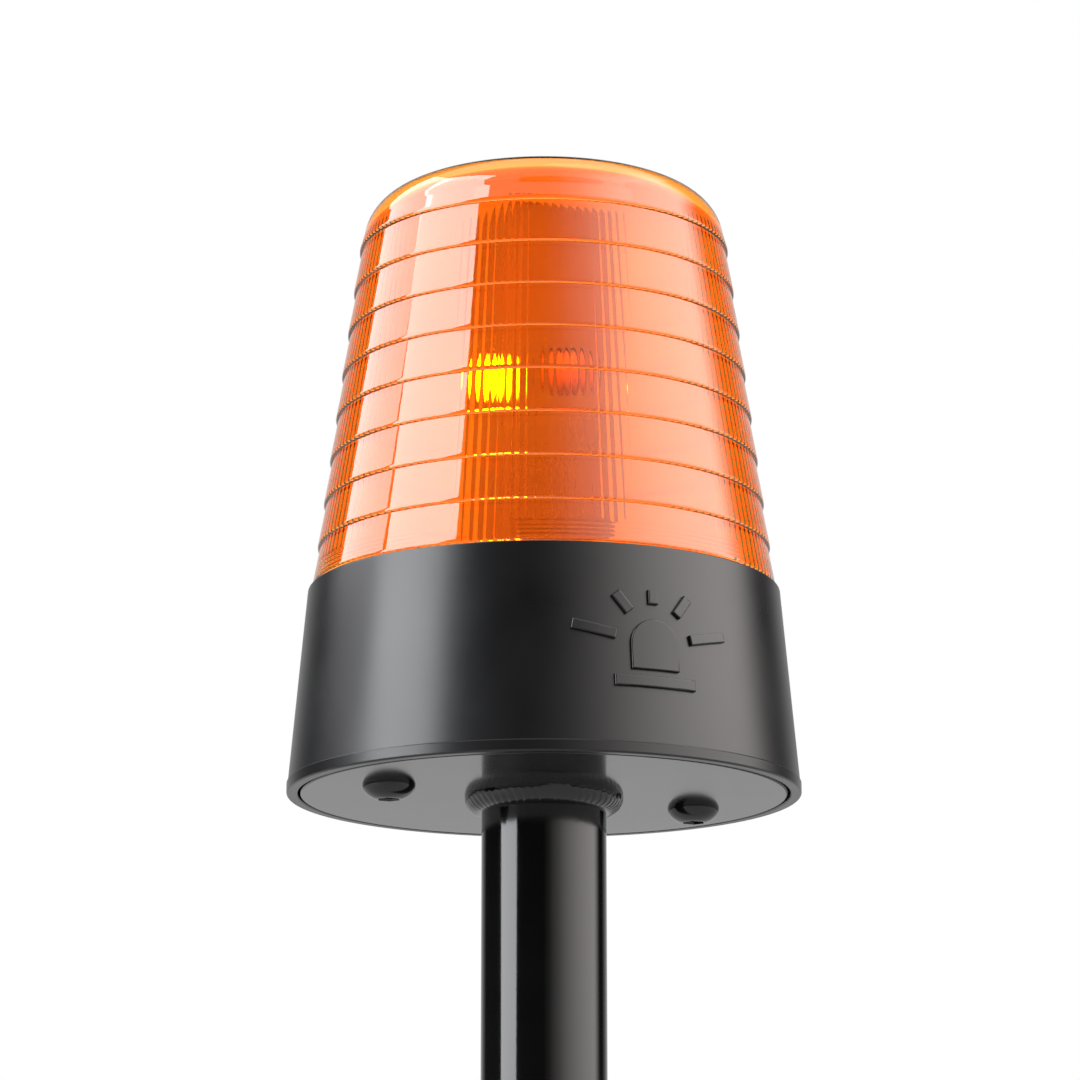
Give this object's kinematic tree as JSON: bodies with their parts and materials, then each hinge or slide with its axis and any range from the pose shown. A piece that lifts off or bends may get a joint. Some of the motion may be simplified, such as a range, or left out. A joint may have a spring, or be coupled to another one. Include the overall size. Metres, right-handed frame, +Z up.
{
  "type": "beacon light",
  "caption": "Amber LED warning beacon with a ringed conical lens that twists off its black housing, on a round tube stem with a welded plate.",
  "frame": {"origin": "centre of the stem's lower end", "axes": "+Z up along the stem, -Y towards the front with the emblem, +X towards the right-hand plate screw"},
  "size_m": [0.103, 0.103, 0.3774],
  "materials": {
    "stem_paint": "gloss black powder coat over steel",
    "plate_paint": "satin dark grey powder coat over steel",
    "gasket_rubber": "matt black rubber",
    "black_screw": "black zinc, semi gloss",
    "brass": "turned brass",
    "housing_plastic": "satin black moulded plastic with a fine texture",
    "aluminium": "mill finish",
    "bright_plating": "bright vacuum plating on plastic",
    "steel_screw": "zinc plated",
    "circuit_board": "green solder mask on glass fibre board",
    "led_board_white": "white solder mask on aluminium board",
    "capacitor_sleeve": "shrunk black sleeve with a bare aluminium top",
    "ferrite": "dull dark ferrite and moulding compound",
    "terminal_plastic": "moulded green polyamide",
    "led_dome": "clear yellow silicone dome",
    "amber_lens": "clear amber polycarbonate, fluted inside"
  },
  "bodies": {
    "base": {"stem_tube": "stem_paint", "weld_bead": "stem_paint", "base_plate": "plate_paint", "plate_gasket": "gasket_rubber", "cable_grommet": "gasket_rubber", "mount_screw_left": "black_screw", "mount_screw_right": "black_screw", "insert_left": "brass", "insert_right": "brass", "housing": "housing_plastic", "front_emblem": "housing_plastic", "lens_seal": "gasket_rubber", "heat_spreader": "aluminium", "tower_core": "aluminium", "reflector_sleeve": "bright_plating", "tower_cap": "bright_plating", "tie_bolt": "steel_screw", "tie_nut": "steel_screw", "driver_board": "circuit_board", "capacitor": "capacitor_sleeve", "inductor": "ferrite", "driver_chip": "ferrite", "terminal_block": "terminal_plastic", "spreader_screw_1": "steel_screw", "spreader_screw_2": "steel_screw", "spreader_screw_3": "steel_screw", "spreader_screw_4": "steel_screw", "board_post_1": "brass", "board_screw_1": "steel_screw", "terminal_screw_1": "steel_screw", "board_post_2": "brass", "board_screw_2": "steel_screw", "terminal_screw_2": "steel_screw", "board_post_3": "brass", "board_screw_3": "steel_screw", "terminal_screw_3": "steel_screw", "led_board_front": "led_board_white", "led_front": "led_dome", "led_socket_front": "terminal_plastic", "led_board_right": "led_board_white", "led_right": "led_dome", "led_socket_right": "terminal_plastic", "led_board_back": "led_board_white", "led_back": "led_dome", "led_socket_back": "terminal_plastic", "led_board_left": "led_board_white", "led_left": "led_dome", "led_socket_left": "terminal_plastic"},
    "lens_cover": {"lens": "amber_lens"}
  },
  "joints": [
    {"name": "lens_twist", "type": "hinge", "parent": "base", "child": "lens_cover", "pos_m": [0, 0, 0.2914], "axis": [0, 0, 1], "range_deg": [0, 30]}
  ]
}
